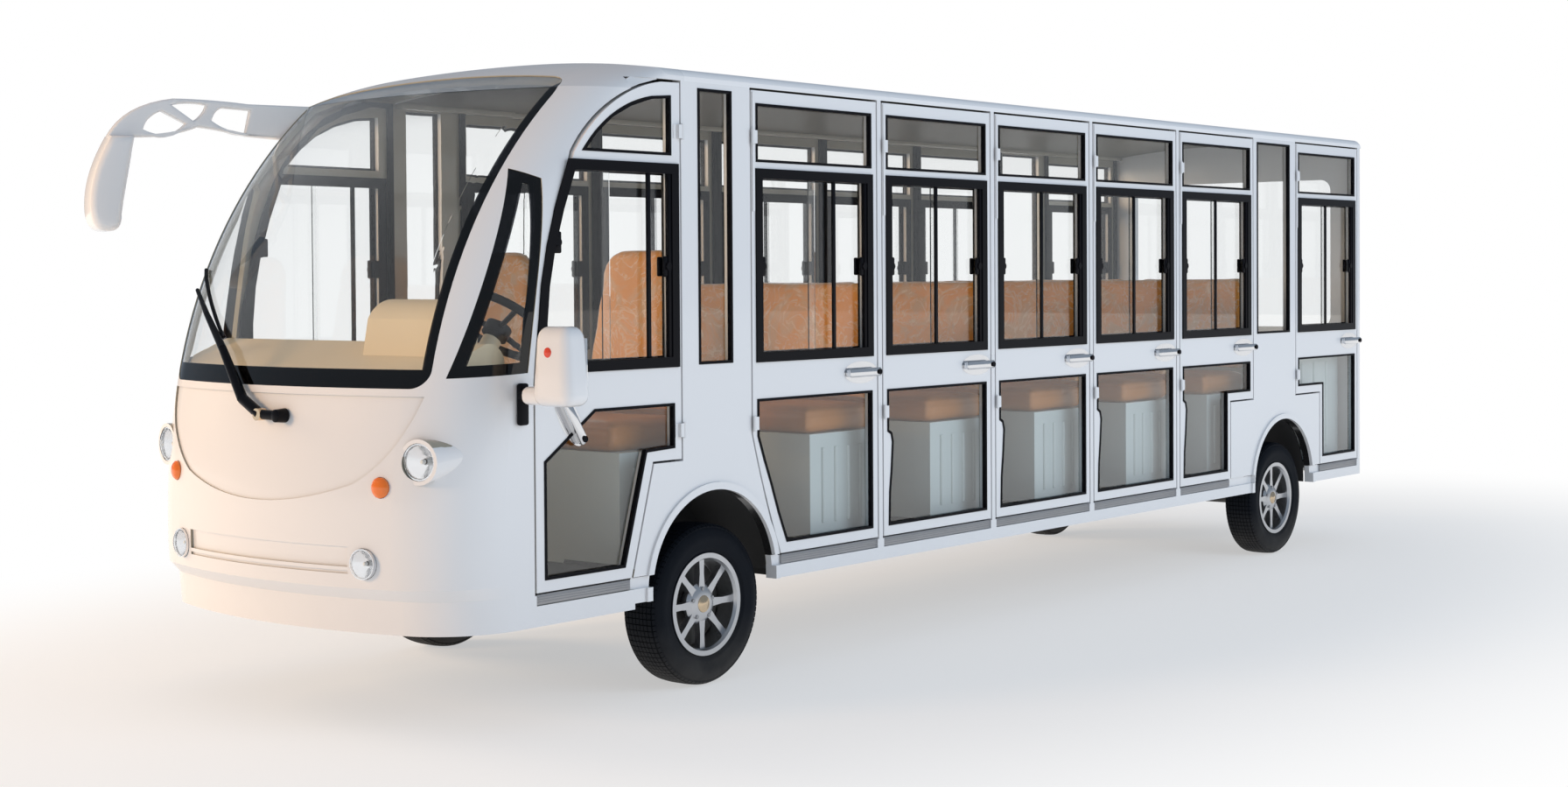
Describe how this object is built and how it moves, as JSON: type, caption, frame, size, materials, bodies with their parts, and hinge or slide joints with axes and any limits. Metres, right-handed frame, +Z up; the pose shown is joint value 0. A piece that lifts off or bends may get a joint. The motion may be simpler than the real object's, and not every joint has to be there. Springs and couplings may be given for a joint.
{
  "type": "electric sightseeing bus",
  "caption": "Closed electric sightseeing bus with a moulded nose, curved windscreen, rows of bench seats, hinged doors along both sides, steered front wheels and roof-hung mirror.",
  "frame": {"origin": "on the ground under the middle of the bus", "axes": "+X forward, +Y to the left, +Z up"},
  "size_m": [6.878, 2.109, 2.2349],
  "materials": {
    "white_paint": "gloss white moulded panels",
    "clear_glass": "clear safety glass",
    "tyre_rubber": "black road tyre",
    "alloy": "bright cast alloy",
    "chassis_black": "satin black",
    "battery_case": "dark case",
    "floor_grey": "grey floor covering",
    "base_grey": "pale grey moulding",
    "tan_leather": "tan leatherette",
    "beige_plastic": "beige moulding",
    "black_plastic": "black",
    "lamp_clear": "clear lamp lens",
    "lamp_amber": "amber and red lamp lens"
  },
  "bodies": {
    "bus_body": {"battery": "battery_case", "chassis_frame": "chassis_black", "dashboard": "beige_plastic", "fixed_glass": "clear_glass", "floor": "floor_grey", "front_axle": "chassis_black", "front_lamps": "lamp_clear", "front_shell": "white_paint", "leaf_springs": "chassis_black", "mirrors": "white_paint", "rear_axle": "chassis_black", "rear_wall": "white_paint", "roof": "white_paint", "seat_bases": "base_grey", "seat_pads": "tan_leather", "side_frame_left": "white_paint", "side_frame_right": "white_paint", "signal_lamps": "lamp_amber", "windscreen": "clear_glass", "wiper": "black_plastic"},
    "front_door_left": {"front_door_left": "white_paint", "front_door_glass_left": "clear_glass"},
    "front_door_right": {"front_door_right": "white_paint", "front_door_glass_right": "clear_glass"},
    "passenger_door_1_left": {"passenger_door_1_left": "white_paint", "passenger_door_1_glass_left": "clear_glass"},
    "passenger_door_1_right": {"passenger_door_1_right": "white_paint", "passenger_door_1_glass_right": "clear_glass"},
    "passenger_door_2_left": {"passenger_door_2_left": "white_paint", "passenger_door_2_glass_left": "clear_glass"},
    "passenger_door_2_right": {"passenger_door_2_right": "white_paint", "passenger_door_2_glass_right": "clear_glass"},
    "passenger_door_3_left": {"passenger_door_3_left": "white_paint", "passenger_door_3_glass_left": "clear_glass"},
    "passenger_door_3_right": {"passenger_door_3_right": "white_paint", "passenger_door_3_glass_right": "clear_glass"},
    "passenger_door_4_left": {"passenger_door_4_left": "white_paint", "passenger_door_4_glass_left": "clear_glass"},
    "passenger_door_4_right": {"passenger_door_4_right": "white_paint", "passenger_door_4_glass_right": "clear_glass"},
    "passenger_door_5_left": {"passenger_door_5_left": "white_paint", "passenger_door_5_glass_left": "clear_glass"},
    "passenger_door_5_right": {"passenger_door_5_right": "white_paint", "passenger_door_5_glass_right": "clear_glass"},
    "rear_door_left": {"rear_door_left": "white_paint", "rear_door_glass_left": "clear_glass"},
    "rear_door_right": {"rear_door_right": "white_paint", "rear_door_glass_right": "clear_glass"},
    "knuckle_left": {"knuckle_left": "chassis_black"},
    "knuckle_right": {"knuckle_right": "chassis_black"},
    "wheel_front_left": {"tyre_front_left": "tyre_rubber", "rim_front_left": "alloy"},
    "wheel_front_right": {"tyre_front_right": "tyre_rubber", "rim_front_right": "alloy"},
    "wheel_rear_left": {"tyre_rear_left": "tyre_rubber", "rim_rear_left": "alloy"},
    "wheel_rear_right": {"tyre_rear_right": "tyre_rubber", "rim_rear_right": "alloy"},
    "steering_wheel": {"steering_wheel": "black_plastic"}
  },
  "joints": [
    {"name": "front_door_left_hinge", "type": "hinge", "parent": "bus_body", "child": "front_door_left", "pos_m": [2.21, 0.802, 1.3], "axis": [0, 0, 1], "range_deg": [0, 80]},
    {"name": "front_door_right_hinge", "type": "hinge", "parent": "bus_body", "child": "front_door_right", "pos_m": [2.21, -0.802, 1.3], "axis": [0, 0, -1], "range_deg": [0, 80]},
    {"name": "passenger_door_1_left_hinge", "type": "hinge", "parent": "bus_body", "child": "passenger_door_1_left", "pos_m": [1.828, 0.802, 1.3], "axis": [0, 0, -1], "range_deg": [0, 80]},
    {"name": "passenger_door_1_right_hinge", "type": "hinge", "parent": "bus_body", "child": "passenger_door_1_right", "pos_m": [1.828, -0.802, 1.3], "axis": [0, 0, 1], "range_deg": [0, 80]},
    {"name": "passenger_door_2_left_hinge", "type": "hinge", "parent": "bus_body", "child": "passenger_door_2_left", "pos_m": [1.03, 0.802, 1.3], "axis": [0, 0, -1], "range_deg": [0, 80]},
    {"name": "passenger_door_2_right_hinge", "type": "hinge", "parent": "bus_body", "child": "passenger_door_2_right", "pos_m": [1.03, -0.802, 1.3], "axis": [0, 0, 1], "range_deg": [0, 80]},
    {"name": "passenger_door_3_left_hinge", "type": "hinge", "parent": "bus_body", "child": "passenger_door_3_left", "pos_m": [0.232, 0.802, 1.3], "axis": [0, 0, -1], "range_deg": [0, 80]},
    {"name": "passenger_door_3_right_hinge", "type": "hinge", "parent": "bus_body", "child": "passenger_door_3_right", "pos_m": [0.232, -0.802, 1.3], "axis": [0, 0, 1], "range_deg": [0, 80]},
    {"name": "passenger_door_4_left_hinge", "type": "hinge", "parent": "bus_body", "child": "passenger_door_4_left", "pos_m": [-0.566, 0.802, 1.3], "axis": [0, 0, -1], "range_deg": [0, 80]},
    {"name": "passenger_door_4_right_hinge", "type": "hinge", "parent": "bus_body", "child": "passenger_door_4_right", "pos_m": [-0.566, -0.802, 1.3], "axis": [0, 0, 1], "range_deg": [0, 80]},
    {"name": "passenger_door_5_left_hinge", "type": "hinge", "parent": "bus_body", "child": "passenger_door_5_left", "pos_m": [-1.364, 0.802, 1.3], "axis": [0, 0, -1], "range_deg": [0, 80]},
    {"name": "passenger_door_5_right_hinge", "type": "hinge", "parent": "bus_body", "child": "passenger_door_5_right", "pos_m": [-1.364, -0.802, 1.3], "axis": [0, 0, 1], "range_deg": [0, 80]},
    {"name": "rear_door_left_hinge", "type": "hinge", "parent": "bus_body", "child": "rear_door_left", "pos_m": [-2.612, 0.802, 1.3], "axis": [0, 0, -1], "range_deg": [0, 80]},
    {"name": "rear_door_right_hinge", "type": "hinge", "parent": "bus_body", "child": "rear_door_right", "pos_m": [-2.612, -0.802, 1.3], "axis": [0, 0, 1], "range_deg": [0, 80]},
    {"name": "steer_left", "type": "hinge", "parent": "bus_body", "child": "knuckle_left", "pos_m": [2.027, 0.525, 0.29], "axis": [0, 0, 1], "range_deg": [-30, 30]},
    {"name": "steer_right", "type": "hinge", "parent": "bus_body", "child": "knuckle_right", "pos_m": [2.027, -0.525, 0.29], "axis": [0, 0, 1], "range_deg": [-30, 30]},
    {"name": "wheel_front_left_spin", "type": "hinge", "parent": "knuckle_left", "child": "wheel_front_left", "pos_m": [2.027, 0.6675, 0.29], "axis": [0, 1, 0], "continuous": true},
    {"name": "wheel_front_right_spin", "type": "hinge", "parent": "knuckle_right", "child": "wheel_front_right", "pos_m": [2.027, -0.6675, 0.29], "axis": [0, 1, 0], "continuous": true},
    {"name": "wheel_rear_left_spin", "type": "hinge", "parent": "bus_body", "child": "wheel_rear_left", "pos_m": [-2.478, 0.6675, 0.29], "axis": [0, 1, 0], "continuous": true},
    {"name": "wheel_rear_right_spin", "type": "hinge", "parent": "bus_body", "child": "wheel_rear_right", "pos_m": [-2.478, -0.6675, 0.29], "axis": [0, 1, 0], "continuous": true},
    {"name": "steering_wheel_turn", "type": "hinge", "parent": "bus_body", "child": "steering_wheel", "pos_m": [2.667, 0.36, 1.3], "axis": [-0.6198, 0, 0.7848], "range_deg": [-450, 450]}
  ],
  "couplings": [
    {"joint": "steer_right", "follows": "steer_left", "ratio": 1},
    {"joint": "steering_wheel_turn", "follows": "steer_left", "ratio": 15}
  ]
}
